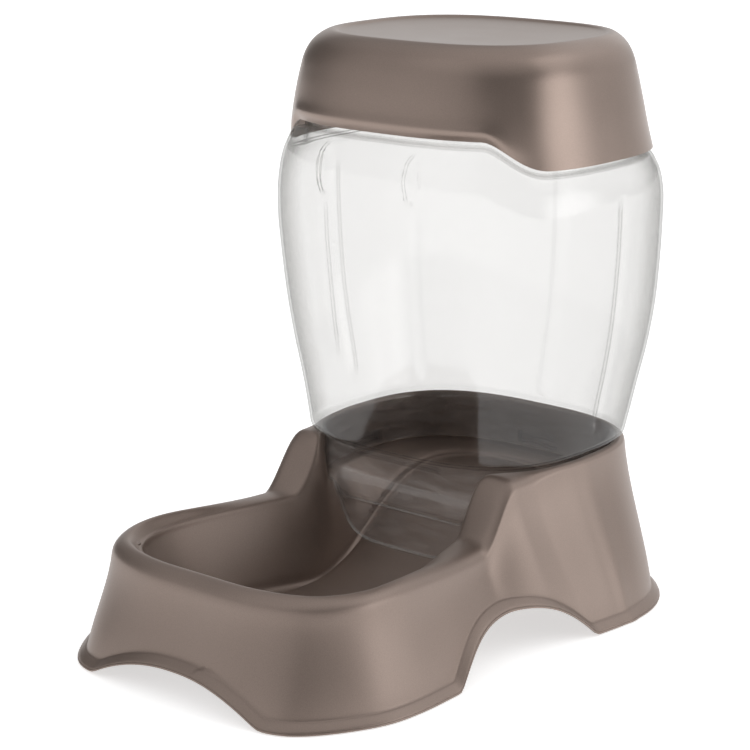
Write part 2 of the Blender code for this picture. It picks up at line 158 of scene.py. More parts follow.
# Fine shape of the hopper.
GATE_OUTLINE = [(0, 31.5), (15, 31.5), (24, 31.9), (32, 33.3), (38, 36.4), (42, 40.5),
                (45, 45.5), (47.2, 51), (49, 56.5), (50.6, 61), (52, 65)]
GATE_TOP_Z = 69.0
GATE_DROPS = [1, 0.99, 0.98, 0.97, 0.96, 0.95, 0.94, 0.93, 0.92, *np.linspace(0.9, 0, 57)]
SPOUT_LINE = [(72, 62.3), (75, 62), (77.5, 61.8), (79.0, 62.6), (82, 63.4), (86, 64.2)]
SPOUT_TOP_Z = 91.0
STEP_PROFILE = [(0.5, 93.0), (2.2, 94.3), (5.0, 95.2), (7.0, 96.6), (7.8, 98.6)]
GATE_SWELL = (1.6, 66.0, 9.0)       # how far it stands, its middle's height and its reach
GATE_STEP = (1.2, 58.2, 59.0)       # how deep, and the heights where it ends and starts
GATE_RIB = (1.2, 57.0, 0.7)
GATE_BEAD = (1.1, 1.2, 0.9)         # its middle's height is over the gate's edge
OVAL = (31, 261, 6.0, 15.0, 2.6)    # centre x and z, half width and height, how far it stands
FRONT_FLUTE = (33, 4.5, 1.3)        # centre, half width and depth
SIDE_FLUTE = (2.5, 5, 1.4)
REAR_FLUTE = (0, 7, 2.2)
SHOULDER_IN = 0.5
SHOULDER_RISE = 0.8
NECK_TAPER = 1.2
SHOULDER_CORNERS = [(2, 1.0), (1, 1.2)]
HOPPER_SPOTS = [(-33, -88), (33, -88), (-101, 2), (101, 2), (0, 88)]   # fine detail is here
CLOSER = (1.8, 11.0)      # how much closer points are at such a spot, and how far it reaches

FOOT_PROFILE = [(0, 0.0), (2.2, 0.0), (2.6, 0.35), (3.0, 0.35), (3.4, 0.0), (6.3, 0.0),
                (6.8, 0.2), (7.0, 0.7), (7.0, 1.7), (6.8, 2.2), (6.3, 2.4), (2.9, 2.4),
                (2.35, 2.7), (2.2, 4.0), (2.2, 6.8), (2.38, 7.2), (2.38, 7.8), (1.9, 8.6),
                (1.2, 9.0), (0, 9.0)]

# How finely the shapes are divided.
STATION_STEPS = 12
FRONT_STEPS = 48
WALL_ROWS = 22
RIM_STEPS = 5
BOWL_COLUMNS = 28
HOPPER_SEGMENTS = 300
STEP_STEPS = 3
BARREL_STEPS = 8
LID_SEGMENTS = 240
LID_STEPS = 6
FOOT_SEGMENTS = 64

# Studio: evenly dim walls, and soft panels as azimuth, elevation, reach and strength.
AMBIENT = 0.15
PANELS = [(22, 0, 33, 3.3), (82, 24, 40, 1.0), (-114, 16, 52, 0.7), (0, 90, 65, 0.9),
          (127, 10, 36, 0.95), (38, 42, 26, 1.4)]
BACKDROP = 1.32           # what the camera sees behind the floor
FLOOR_RADIUS = 14.0
FLOOR_GLOW = 0.6


def smoothstep(value, low, high):
    """0 below low, 1 above high and a smooth S between them."""
    share = np.clip((np.asarray(value, float) - low) / (high - low), 0.0, 1.0)
    return share * share * (3.0 - 2.0 * share)


def superellipse(half_width, half_depth, angle, exponent=ROUNDNESS):
    """Points of a superellipse at some angles, measured from +X towards +Y."""
    cos, sin = np.cos(angle), np.sin(angle)
    power = 2.0 / exponent
    return np.stack([half_width * np.sign(cos) * np.abs(cos) ** power,
                     half_depth * np.sign(sin) * np.abs(sin) ** power], axis=-1)


def hermite(before, start, end, after, t, spans):
    """The spline between start and end; spans are the knots' distances on either side."""
    first, middle, last = spans
    leave = middle * ((start - before) / first - (end - before) / (first + middle)
                      + (end - start) / middle)
    arrive = middle * ((end - start) / middle - (after - start) / (middle + last)
                       + (after - end) / last)
    return ((2 * t ** 3 - 3 * t ** 2 + 1) * start + (t ** 3 - 2 * t ** 2 + t) * leave
            + (3 * t ** 2 - 2 * t ** 3) * end + (t ** 3 - t ** 2) * arrive)


def smooth_line(points, at):
    """A smooth line through the points, at these stations. It meets x = 0 squarely."""
    first = points[1]
    knots = np.array([(-first[0], first[1])] + list(points), float)
    k = np.minimum(at.astype(int), len(points) - 3)
    t = (at - k)[:, None]
    return hermite(knots[k], knots[k + 1], knots[k + 2], knots[k + 3], t, (1, 1, 1))


def guide_line(front, rear_size, at):
    """One guide line of the base: its listed front part, then its round rear end."""
    half_width, half_depth, exponent = rear_size
    last = len(front) - 1
    start = math.asin((front[-1][1] / half_depth) ** (exponent / 2))
    step = (math.pi / 2 - start) / REAR_STATIONS
    beyond = superellipse(half_width, half_depth, np.array([start + step]), exponent)
    ahead = smooth_line(list(front) + [tuple(beyond[0])], np.minimum(at, last))
    angles = start + step * np.clip(at - last, 0, REAR_STATIONS)
    rear = superellipse(half_width, half_depth, angles, exponent)
    return np.where(at[:, None] > last, rear, ahead)


def softened(line, at, radius):
    """Evens out the bends of the front part of a guide line, over this many stations."""
    even = np.linspace(0, at[-1], int(at[-1] * STATION_STEPS) + 1)
    mirrored = np.stack([np.interp(even, at, line[:, 0]), np.interp(even, at, line[:, 1])], 1)
    reach = int(3 * radius * STATION_STEPS)
    padded = np.vstack([mirrored[reach:0:-1] * (-1, 1), mirrored,
                        mirrored[-2:-2 - reach:-1] * (-1, 1)])
    offsets = np.arange(-reach, reach + 1) / STATION_STEPS
    weights = np.exp(-0.5 * (offsets / radius) ** 2)
    weights /= weights.sum()
    smooth = np.stack([np.convolve(padded[:, c], weights, "valid") for c in (0, 1)], 1)
    result = np.stack([np.interp(at, even, smooth[:, c]) for c in (0, 1)], 1)
    keep = smoothstep(at, *EVEN_END)[:, None]
    return result * (1 - keep) + line * keep


def even_flank(line, at):
    """The line evened out a little all along, and more along the flank behind the bowl."""
    flank = smoothstep(at, *FLANK)[:, None]
    return softened(line, at, EVEN) * (1 - flank) + softened(line, at, FLANK_EVEN) * flank


def plan_normals(line):
    """Outward unit normals of a guide line, in plan."""
    along = np.gradient(line, axis=0)
    along[0], along[-1] = (1, 0), (-1, 0)
    normals = np.stack([along[:, 1], -along[:, 0]], axis=1)
    return normals / np.linalg.norm(normals, axis=1)[:, None]


def rim_height(y):
    """Crest of the base's rim: the bowl's rim, the horns' rise and the flat collar."""
    bowl = RIM_FRONT_Z + (RIM_WAIST_Z - RIM_FRONT_Z) * smoothstep(y, *WAIST)
    return bowl + (COLLAR_Z - RIM_WAIST_Z) * smoothstep(y, *HORN)


def floor_height(y):
    """The bowl's floor, and the chute that climbs from it to the rear of the collar."""
    return BOWL_FLOOR_Z + (CHUTE_TOP_Z - BOWL_FLOOR_Z) * smoothstep(y, *CHUTE)


def skirt_height(x, y):
    """Lower edge of the skirt: four lobes with arches between them."""
    half, rise = END_ARCH
    across = rise * (1 - np.abs(x / half) ** 2.4)
    start, stop, height = SIDE_ARCH
    along = (y - start) / (stop - start)
    side = height * (1 - np.abs(2 * along - 1) ** 2.6)
    arch = np.where(np.abs(x) < half + 15, across, side)
    return SKIRT_Z + 0.5 * (arch + np.sqrt(arch ** 2 + ARCH_BLEND ** 2))


def dense_rows(rows, steps):
    """More rows between the given ones, on smooth curves across them."""
    rows = [np.asarray(row, float) for row in rows]
    ends = [2 * rows[0] - rows[1]] + rows + [2 * rows[-1] - rows[-2]]
    made = []
    for k in range(1, len(ends) - 2):
        knots = ends[k - 1:k + 3]
        spans = [np.sqrt(np.linalg.norm(b - a, axis=1))[:, None] + 1e-6
                 for a, b in zip(knots, knots[1:])]
        for i in range(steps):
            made.append(hermite(*knots, i / steps, spans))
    return made + [rows[-1]]


def with_round_corner(rows, index, radius):
    """Replaces one row, where the section turns sharply, with three that round it."""
    corner = rows[index]
    ways = [rows[index - 1] - corner, rows[index + 1] - corner]
    ends = []
    for way in ways:
        length = np.linalg.norm(way, axis=1)[:, None] + 1e-9
        ends.append(corner + way / length * np.minimum(radius, 0.45 * length))
    middle = 0.25 * ends[0] + 0.5 * corner + 0.25 * ends[1]
    return rows[:index] + [ends[0], middle, ends[1]] + rows[index + 1:]


def level(plan, z):
    """A row of points from its plan and its height."""
    return np.column_stack([plan, np.broadcast_to(z, len(plan))])


def rim_rows(top, inner, top_z, inner_z, scale):
    """The rim: a rounded shoulder, a gentle fall inwards and a tighter inner edge."""
    width = np.linalg.norm(top - inner, axis=1)
    rows = []
    parts = [(top, inner, top_z, SHOULDER, (30, 60, 90)),
             (inner, top, inner_z, INNER_EDGE, (80, 50, 0))]
    for start, end, z, (reach, drop), turns in parts:
        for turn in turns:
            angle = math.radians(turn)
            share = (reach * scale / width * (1 - math.cos(angle)))[:, None]
            rows.append(level(start + (end - start) * share,
                              z + drop * scale * math.sin(angle)))
    return rows


def side_rows(at, end, inner, floor, floor_z):
    """The bowl's and chute's side below the rim's last row, then the edge of the floor. The
    ledge under the hopper runs round the collar and dies out past the horns."""
    seated = smoothstep(at, *SEATED)[:, None]
    crease = smoothstep(at, *CREASE)
    inward = (floor - inner) / np.linalg.norm(floor - inner, axis=1)[:, None]
    above = np.where(seated[:, 0] > 0.5, LEDGE_Z, end[:, 2]) - floor_z
    fillet = np.minimum(FLOOR_FILLET * (1 - crease) + CREASE_FILLET * crease, 0.45 * above)
    share = (FOOT_SHARE[0] * (1 - crease) + FOOT_SHARE[1] * crease)[:, None]
    foot = level(floor + (inner - floor) * share, floor_z + fillet)

    side = []
    for part, reach, z in LEDGE:
        plain = end + (foot - end) * part
        side.append(plain + (level(inner + inward * reach, z) - plain) * seated)
    corner = level(floor + (inner - floor) * 0.67 * share, floor_z)
    edge = level(floor, floor_z)
    return side + [foot], [0.25 * foot + 0.5 * corner + 0.25 * edge, edge]


def base_rows():
    """Rows of the base's outer skin, from the flange to the floor's edge, then the flange's
    rows behind them, and plainer rows of the same shape to draw the rest of the back from."""
    front = np.linspace(0, 1, FRONT_STEPS, endpoint=False)
    last = len(FLANGE_LINE) - 1 + REAR_STATIONS
    rest = np.linspace(1, last, (last - 1) * STATION_STEPS + 1)
    at = np.concatenate([front, rest])
    flange = even_flank(guide_line(FLANGE_LINE, FLANGE_REAR, at), at)
    top = even_flank(guide_line(TOP_LINE, (*COLLAR, ROUNDNESS), at), at)
    inner = softened(guide_line(INNER_LINE, (*SEAT, ROUNDNESS), at), at, EVEN)
    floor = softened(guide_line(FLOOR_LINE, FLOOR_REAR, at), at, EVEN)
    outward = plan_normals(flange)
    foot = flange - outward * FLANGE_OUT

    crest = rim_height(top[:, 1])
    scale = np.minimum(1.0, np.linalg.norm(top - inner, axis=1) / RIM_WIDTH)
    slope = RIM_SLOPE * (1 - smoothstep(top[:, 1], *WAIST))
    top_z = crest - SHOULDER[1] * scale
    inner_z = crest - slope - INNER_EDGE[1] * scale
    edge_z = skirt_height(flange[:, 0], flange[:, 1])

    def wall(z):
        """The outer wall at height z, leaning out towards the floor."""
        share = np.clip(1 - z / top_z, 0, 1)[:, None]
        lean = 0.5 * share + 0.5 * share * share * (3 - 2 * share)
        return top + (foot - top) * lean

    def beside(out, up):
        """A row on the flange, this far out from the wall and up from the lower edge."""
        return level(wall(edge_z + up) + outward * out, edge_z + up)

    face = [beside(out, up) for out, up in FLANGE_FACE]
    behind = [beside(out, up) for out, up in FLANGE_BACK]
    start = edge_z + FLANGE_FACE[-1][1] + ABOVE_FLANGE
    heights = [start + (top_z - start) * share ** 1.15 for share in np.linspace(0, 1, WALL_ROWS)]
    rows = [level(wall(z), z) for z in heights]

    rim = rows[-2:] + rim_rows(top, inner, top_z, inner_z, scale)
    side, bottom = side_rows(at, rim[-1], inner, floor, floor_height(floor[:, 1]))
    plain = rows[:-1:3] + [rim[1], rim[4], rim[7]] + side + bottom
    inside = rim + side
    for index, radius in LEDGE_CORNERS:
        inside = with_round_corner(inside, index, radius)
    dense = dense_rows(inside + bottom, RIM_STEPS)[RIM_STEPS:]
    return face + rows[:-1] + dense, behind, plain


def mark_front_arch(rows):
    """A half-round moulding mark that stands a little from the flange over the front arch."""
    centre, half_width, height, stand = ARCH_MARK
    lowest = rows[0]
    for row in rows:
        up = row[:, 2] - lowest[:, 2]
        away = ((row[:, 0] - centre) / half_width) ** 2 + (up / height) ** 2
        share = stand * smoothstep(-away, -1.12, -0.88) * (row[:, 1] < 0)
        row[:, 1] += (np.minimum(row[:, 1], lowest[:, 1] + 0.5) - row[:, 1]) * share


def skin_behind(rows, thickness):
    """The same rows moved in by the wall's thickness, along the skin's own normals."""
    grid = np.array(rows)
    along = np.roll(grid, -1, axis=1) - np.roll(grid, 1, axis=1)
    normals = np.cross(along, np.gradient(grid, axis=0))
    normals /= np.linalg.norm(normals, axis=2)[:, :, None]
    return list(grid - normals * thickness)


def close_loop(half):
    """A half line from the front centre to the rear centre, and its mirror image."""
    return np.vstack([half, half[-2:0:-1] * (-1, 1, 1)])


def grid_faces(bm, loops, way=1):
    """Faces between closed loops of vertices; they turn round where way is -1."""
    for lower, upper in zip(loops, loops[1:]):
        for i in range(len(lower)):
            bm.faces.new((lower[i - 1], lower[i], upper[i], upper[i - 1])[::way])


def skin_faces(bm, rows, way):
    """One side of the base's wall: its rows, and the floor across the last of them. The
    faces turn round where way is -1. Returns the lowest row's vertices."""
    loops = [[bm.verts.new(p) for p in row] for row in rows]
    grid_faces(bm, loops, way)
    edge = loops[-1]
    rear = len(edge) // 2
    strips = [[edge[0]] * (BOWL_COLUMNS + 1)]
    for j in range(1, rear):
        right, left = edge[j], edge[-j]
        inside = [bm.verts.new(left.co.lerp(right.co, k / BOWL_COLUMNS))
                  for k in range(1, BOWL_COLUMNS)]
        strips.append([left] + inside + [right])
    strips.append([edge[rear]] * (BOWL_COLUMNS + 1))
    for front, back in zip(strips, strips[1:]):
        for k in range(BOWL_COLUMNS):
            corners = dict.fromkeys((front[k], front[k + 1], back[k + 1], back[k]))
            bm.faces.new(list(corners)[::way])
    return loops[0]


def skin_object(name, bm):
    """An object from a mesh drawn in millimetres round the hopper's axis."""
    mesh = bpy.data.meshes.new(name)
    bmesh.ops.transform(bm, matrix=Matrix.Translation((0, HOPPER_Y, 0)), verts=bm.verts)
    bmesh.ops.scale(bm, vec=(MM, MM, MM), verts=bm.verts)
    bm.to_mesh(mesh)
    bm.free()
    obj = bpy.data.objects.new(name, mesh)
    bpy.context.scene.collection.objects.link(obj)
    return obj


def thicken(obj, thickness):
    """Gives a skin its wall, on the inner side."""
    solidify = obj.modifiers.new("wall", "SOLIDIFY")
    solidify.thickness = thickness * MM
    solidify.offset = -1.0
    solidify.use_even_offset = True


def combine(obj, other, operation):
    boolean = obj.modifiers.new(operation.lower(), "BOOLEAN")
    boolean.operation = operation
    boolean.solver = "EXACT"
    boolean.object = other


def finished(obj, material, helpers=()):
    """Applies the modifiers, keeps the mesh inside the CAD box and shades it smooth."""
    graph = bpy.context.evaluated_depsgraph_get()
    mesh = bpy.data.meshes.new_from_object(obj.evaluated_get(graph))
    obj.modifiers.clear()
    obj.data = mesh
    for helper in helpers:
        bpy.data.objects.remove(helper)
    low = np.array(CAD_BOX[0]) + INSIDE_BOX * MM
    high = np.array(CAD_BOX[1]) - INSIDE_BOX * MM
    points = np.empty(len(mesh.vertices) * 3)
    mesh.vertices.foreach_get("co", points)
    mesh.vertices.foreach_set("co", np.clip(points.reshape(-1, 3), low, high).ravel())
    mesh.materials.clear()
    mesh.materials.append(material)
    mesh.shade_smooth()
    mesh.set_sharp_from_angle(angle=math.radians(38))
    return obj


def add_box(bm, size, centre):
    place = Matrix.Translation(centre) @ Matrix.Diagonal((*size, 1.0))
    bmesh.ops.create_cube(bm, size=1.0, matrix=place)


def add_cylinder(bm, radius, low, high, spot, segments=48):
    place = Matrix.Translation((*spot, (low + high) / 2))
    bmesh.ops.create_cone(bm, cap_ends=True, segments=segments, radius1=radius,
                          radius2=radius, depth=high - low, matrix=place)


def foot_spots():
    """Name and place of each of the four feet."""
    for end, (x, y) in FOOT_SPOTS.items():
        for side, sign in (("left", -1), ("right", 1)):
            yield end, side, (sign * x, y)


def make_base(material):
    """Skirt, rim, bowl, chute and collar: one moulded skin with a wall behind it, posts for
    the feet, and slots in the collar that end in closed pockets."""
    outer, flange, plain = [[close_loop(row) for row in rows] for rows in base_rows()]
    mark_front_arch(outer[:MARKED_ROWS])
    bm = bmesh.new()
    outer_edge = skin_faces(bm, outer, 1)
    inner_edge = skin_faces(bm, flange + skin_behind(plain, WALL), -1)
    grid_faces(bm, (inner_edge, outer_edge))
    base = skin_object("base_looks", bm)

    added = bmesh.new()
    cuts = bmesh.new()
    for end, _, spot in foot_spots():
        add_cylinder(added, POST_RADIUS, PAD_HEIGHT + FIT_GAP, POST_TOPS[end], spot)
        add_cylinder(cuts, STEM_RADIUS + FIT_GAP, 0, STEM_TOP_Z + 1, spot)
    length, height, mid_z = SLOT
    around = (length + 2 * POCKET_WALL[0], height + 2 * POCKET_WALL[1])
    for sign in (-1, 1):
        middle = sign * (SEAT[0] + SIDE_POCKET[0])
        add_box(added, (SIDE_POCKET[1], *around), (middle, SIDE_SLOT_Y, mid_z))
        add_box(cuts, (SIDE_POCKET[2], length, height), (sign * SEAT[0], SIDE_SLOT_Y, mid_z))
    middle = SEAT[1] + REAR_POCKET[0]
    add_box(added, (around[0], REAR_POCKET[1], around[1]), (0, middle, mid_z))
    add_box(cuts, (length, REAR_POCKET[2], height), (0, SEAT[1], mid_z))
    added_object = skin_object("added", added)
    cut_object = skin_object("cuts", cuts)
    combine(base, added_object, "UNION")
    combine(base, cut_object, "DIFFERENCE")
    return finished(base, material, (added_object, cut_object))


def front_raise(x, y, half_width):
    """1 in the middle of the front, 0 round the sides and rear."""
    share = 1 - smoothstep(np.abs(x) / half_width, *RAISE_SPAN)
    return np.where(y < 0, share, 0.0)


def even_angles(count, spots=()):
    """Angles that space points evenly round the outline, and closer near the spots."""
    fine = np.linspace(-math.pi / 2, 1.5 * math.pi, 20001)
    outline = superellipse(*LID, fine)
    steps = np.linalg.norm(np.diff(outline, axis=0), axis=1)
    middles = (outline[1:] + outline[:-1]) / 2
    more, reach = CLOSER
    for spot in spots:
        away = np.linalg.norm(middles - np.array(spot), axis=1)
        steps = steps * (1 + more * np.exp(-(away / reach) ** 2))
    total = np.concatenate([[0], np.cumsum(steps)])
    return np.interp(np.linspace(0, total[-1], count, endpoint=False), total, fine)


def flute(across, centre, half_width, depth):
    """The rounded section of a flute: deepest in its middle, 0 beyond its sides."""
    return depth * np.clip(1 - ((across - centre) / half_width) ** 2, 0, 1) ** 2


def between(z, rise, fall):
    """1 between two heights, with a soft start and a soft end."""
    return smoothstep(z, *rise) * (1 - smoothstep(z, *fall))


def hopper_dents(point, out):
    """A ring of the hopper with its flutes pressed in and its two front ovals pushed out."""
    x, y, z = point.T
    front = y < -40
    rear = y > 40
    centre, oval_z, half_width, half_height, stand = OVAL
    flute_x, flute_half, flute_depth = FRONT_FLUTE
    depth = np.zeros(len(x))
    for side in (-1, 1):
        oval = ((x - side * centre) / half_width) ** 2 + ((z - oval_z) / half_height) ** 2
        depth -= stand * front * smoothstep(1 - oval, 0.0, 0.35)
        long = front * between(z, (140, 165), (232, 250))
        middle = side * (flute_x + 0.02 * (z - 200))
        depth += long * flute(x, middle, flute_half, flute_depth)
        long = (np.abs(x) > 40) * (np.sign(x) == side) * between(z, (104, 118), (236, 250))
        depth += long * flute(y, *SIDE_FLUTE)
    depth += rear * between(z, (97, 101), (240, 252)) * flute(x, *REAR_FLUTE)
    return point - out * depth[:, None]


def spout(angles, flat=math.inf):
    """The spout's outline in plan, cut off flat in front at this distance."""
    plan = superellipse(*SPOUT, angles)
    plan[:, 1] = np.maximum(plan[:, 1], -flat)
    return plan


def hump(z, stand, middle, reach):
    return stand * np.exp(-((z - middle) / reach) ** 2)


def gate_rows(angles):
    """The spout's lower rows. In front its middle hangs down as the gate, which has a bead
    along its edge, a rib across it and a step over the rib."""
    outline = np.array(GATE_OUTLINE)
    plan = spout(angles, SPOUT_FRONT)
    across = np.abs(plan[:, 0])
    hang = plan[:, 1] < -SPOUT_FRONT + 8
    low = np.where(hang, np.interp(across, outline[:, 0], outline[:, 1]), SPOUT_END_Z)
    inside = 1 - smoothstep(across, 44, 58)
    step, end, start = GATE_STEP
    rows = []
    for drop in GATE_DROPS:
        z = GATE_TOP_Z + (low - GATE_TOP_Z) * drop
        swell = hump(z, *GATE_SWELL) - step * smoothstep(-z, -start, -end)
        rib = hump(z, *GATE_RIB)
        bead = hump(z - low, *GATE_BEAD)
        shape = plan.copy()
        shape[:, 1] -= np.where(hang, (swell + rib) * inside + bead, 0)
        rows.append(level(shape, z))
    return rows


def lifted(angles, z, size, shift=0):
    """A ring of the barrel's top, which rises across the front."""
    plan = superellipse(*size, angles)
    raised = front_raise(plan[:, 0], plan[:, 1], size[0])
    plan[:, 1] += shift
    return level(plan, z + FRONT_RAISE * smoothstep(z, 225, 261) * raised)


def hopper_rows():
    """Rings of the clear hopper's outer skin, from the gate up to the neck's top."""
    angles = even_angles(HOPPER_SEGMENTS, HOPPER_SPOTS)
    rows = gate_rows(angles)
    rows += [level(spout(angles, flat), z) for z, flat in SPOUT_LINE]

    step = [level(spout(angles), SPOUT_TOP_Z)]
    step += [level(superellipse(SPOUT[0] + out, SPOUT[1] + out, angles), z)
             for out, z in STEP_PROFILE]
    step = dense_rows(step, STEP_STEPS)

    barrel = [step[-1]]
    barrel += [lifted(angles, z, (COLLAR[0] * share, COLLAR[1] * share), shift)
               for z, share, shift in BARREL]
    out = np.column_stack([superellipse(*LID, angles) / np.array(LID) ** 2,
                           np.zeros(len(angles))])
    out /= np.linalg.norm(out, axis=1)[:, None]
    barrel = [hopper_dents(points, out) for points in dense_rows(barrel, BARREL_STEPS)]

    shoulder = (LID[0] - SHOULDER_IN, LID[1] - SHOULDER_IN)
    neck_top = superellipse(NECK[0] - NECK_TAPER, NECK[1] - NECK_TAPER, angles)
    top = [barrel[-1], lifted(angles, SHOULDER_Z, shoulder),
           lifted(angles, SHOULDER_Z + SHOULDER_RISE, NECK), level(neck_top, NECK_TOP_Z)]
    for index, radius in SHOULDER_CORNERS:
        top = with_round_corner(top, index, radius)
    return rows + step[:-1] + barrel[:-1] + top


def make_hopper(material):
    """The clear hopper, open at its top and at its spout, with nibs that face the slots."""
    bm = bmesh.new()
    grid_faces(bm, [[bm.verts.new(p) for p in row] for row in hopper_rows()])
    hopper = skin_object("hopper_looks", bm)
    thicken(hopper, CLEAR_WALL)
    length, height, reach, stand = NIB
    nibs = bmesh.new()
    for sign in (-1, 1):
        middle = sign * (SPOUT[0] + stand - reach / 2)
        add_box(nibs, (reach, length, height), (middle, SIDE_SLOT_Y, SLOT[2]))
    middle = SPOUT[1] + stand - reach / 2
    add_box(nibs, (length, reach, height), (0, middle, SLOT[2]))
    nib_object = skin_object("nibs", nibs)
    combine(hopper, nib_object, "UNION")
    return finished(hopper, material, (nib_object,))


def lid_rows():
    """Rings of the lid's outer skin, from its lower edge to the middle of its dish."""
    angles = even_angles(LID_SEGMENTS)
    plan = superellipse(*LID, angles)
    raised = front_raise(plan[:, 0], plan[:, 1], LID[0])
    low = LID_EDGE_Z + FRONT_RAISE * raised
    rings = [level(plan * (1 - FRONT_PULL * raised)[:, None], low)]
    for z, share, shift in LID_SIDE + LID_DISH:
        shape = superellipse(LID[0] * share, LID[1] * share, angles)
        shape[:, 1] += shift
        rings.append(level(shape, np.maximum(z, low + LID_BAND)))
    return dense_rows(rings, LID_STEPS)


def make_lid(material):
    """The lid: a skin closed over its dish, with a wall under it."""
    bm = bmesh.new()
    loops = [[bm.verts.new(p) for p in row] for row in lid_rows()]
    centre = bm.verts.new((0, 0, LID_DISH[-1][0] - 0.2))
    edge = loops[-1]
    for share in (0.66, 0.33):
        loops.append([bm.verts.new(centre.co.lerp(v.co, share)) for v in edge])
    grid_faces(bm, loops)
    last = loops[-1]
    for i in range(len(last)):
        bm.faces.new((last[i - 1], last[i], centre))
    lid = skin_object("lid_looks", bm)
    thicken(lid, WALL)
    return finished(lid, material)


def make_foot(name, spot, material):
    """A turned rubber foot: a pad with rounded edges and a grip groove, and its stem."""
    turns = [2 * math.pi * i / FOOT_SEGMENTS for i in range(FOOT_SEGMENTS)]
    bm = bmesh.new()
    loops = []
    for radius, z in FOOT_PROFILE:
        if radius == 0:
            loops.append([bm.verts.new((*spot, z))] * FOOT_SEGMENTS)
            continue
        loops.append([bm.verts.new((spot[0] + radius * math.cos(turn),
                                    spot[1] + radius * math.sin(turn), z)) for turn in turns])
    for lower, upper in zip(loops, loops[1:]):
        for i in range(FOOT_SEGMENTS):
            corners = dict.fromkeys((lower[i - 1], lower[i], upper[i], upper[i - 1]))
            bm.faces.new(list(corners))
    return finished(skin_object(name, bm), material)


class Nodes:
    """A node tree, emptied, with one call to add a node, set it up and link its inputs."""

    def __init__(self, tree):
        self.tree = tree
        tree.nodes.clear()

    def add(self, kind, settings=None, **inputs):
        """An input is named as its socket is, or _0, _1 and so on by its place."""
        node = self.tree.nodes.new(kind)
        for key, value in (settings or {}).items():
            setattr(node, key, value)
        for key, value in inputs.items():
            by_place = key.startswith("_")
            socket = node.inputs[int(key[1:]) if by_place else key.replace("_", " ")]
            if isinstance(value, bpy.types.NodeSocket):
                self.tree.links.new(value, socket)
            else:
                socket.default_value = value
        return node

    def math(self, operation, *values):
        inputs = {f"_{i}": value for i, value in enumerate(values)}
        return self.add("ShaderNodeMath", {"operation": operation}, **inputs).outputs[0]

    def remap(self, value, before, after=(0.0, 1.0), smooth=False):
        """The value taken from one range to another, straight or along a smooth S."""
        kind = "SMOOTHSTEP" if smooth else "LINEAR"
        return self.add("ShaderNodeMapRange", {"interpolation_type": kind}, Value=value,
                        From_Min=before[0], From_Max=before[1], To_Min=after[0],
                        To_Max=after[1]).outputs["Result"]

    def noise(self, place, scale, detail):
        return self.add("ShaderNodeTexNoise", Vector=place, Scale=scale,
                        Detail=detail).outputs["Fac"]

    def bump(self, height, strength, distance):
        return self.add("ShaderNodeBump", Strength=strength, Distance=distance,
                        Height=height).outputs["Normal"]

    def ramp(self, factor, stops):
        node = self.add("ShaderNodeValToRGB", _0=factor)
        elements = node.color_ramp.elements
        while len(elements) < len(stops):
            elements.new(0.5)
        for element, (place, colour) in zip(elements, stops):
            element.position = place
            element.color = (*colour, 1.0)
        return node.outputs["Color"]


def new_material(name):
    """A material, its nodes, and the socket with a point's place on the object."""
    material = bpy.data.materials.new(name)
    material.use_nodes = True
    nodes = Nodes(material.node_tree)
    return material, nodes, nodes.add("ShaderNodeTexCoord").outputs["Object"]


def pearl_plastic(name, dark, light, rough, metal):
    """Satin pearl plastic: fine flake in the colour, cloudy gloss and a moulded texture."""
    material, nodes, place = new_material(name)
    flake = nodes.noise(place, 2600.0, 1.0)
    cloud = nodes.noise(place, 14.0, 3.0)
    grain = nodes.noise(place, 900.0, 2.0)
    mixed = nodes.add("ShaderNodeMix", {"data_type": "FLOAT"}, _0=0.35, _2=flake, _3=cloud)
    shader = nodes.add(
        "ShaderNodeBsdfPrincipled", Metallic=metal, Coat_Weight=0.12, Coat_Roughness=0.22,
        Base_Color=nodes.ramp(mixed.outputs[0], [(0.35, dark), (0.65, light)]),
        Roughness=nodes.remap(cloud, (0.3, 0.7), rough), Normal=nodes.bump(grain, 0.12, 0.0001))
    nodes.add("ShaderNodeOutputMaterial", Surface=shader.outputs["BSDF"])
    return material


def scuffs(nodes, place):
    """How scuffed the clear plastic is: streaky on the spout, where food slides, most of all
    in the band over the gate, and 0 above the collar."""
    axes = nodes.add("ShaderNodeSeparateXYZ", Vector=place)
    band = nodes.remap(axes.outputs["Z"], (0.0595, 0.0615), smooth=True)
    band = nodes.math("MULTIPLY", band,
                      nodes.remap(axes.outputs["Z"], (0.0795, 0.0765), smooth=True))
    band = nodes.math("MULTIPLY", band, nodes.math("LESS_THAN", axes.outputs["Y"], 0.026))
    spout_share = nodes.remap(axes.outputs["Z"], (0.096, 0.091), smooth=True)
    stretched = nodes.add("ShaderNodeMapping", Vector=place, Scale=(60.0, 60.0, 260.0),
                          Rotation=(0.0, 0.5, 0.3)).outputs["Vector"]
    streaks = nodes.remap(nodes.noise(stretched, 1.0, 4.0), (0.35, 0.7), (0.05, 0.23))
    amount = nodes.math("MULTIPLY", streaks, nodes.remap(band, (0.0, 1.0), (0.5, 1.0)))
    return nodes.math("MULTIPLY", amount, spout_share)


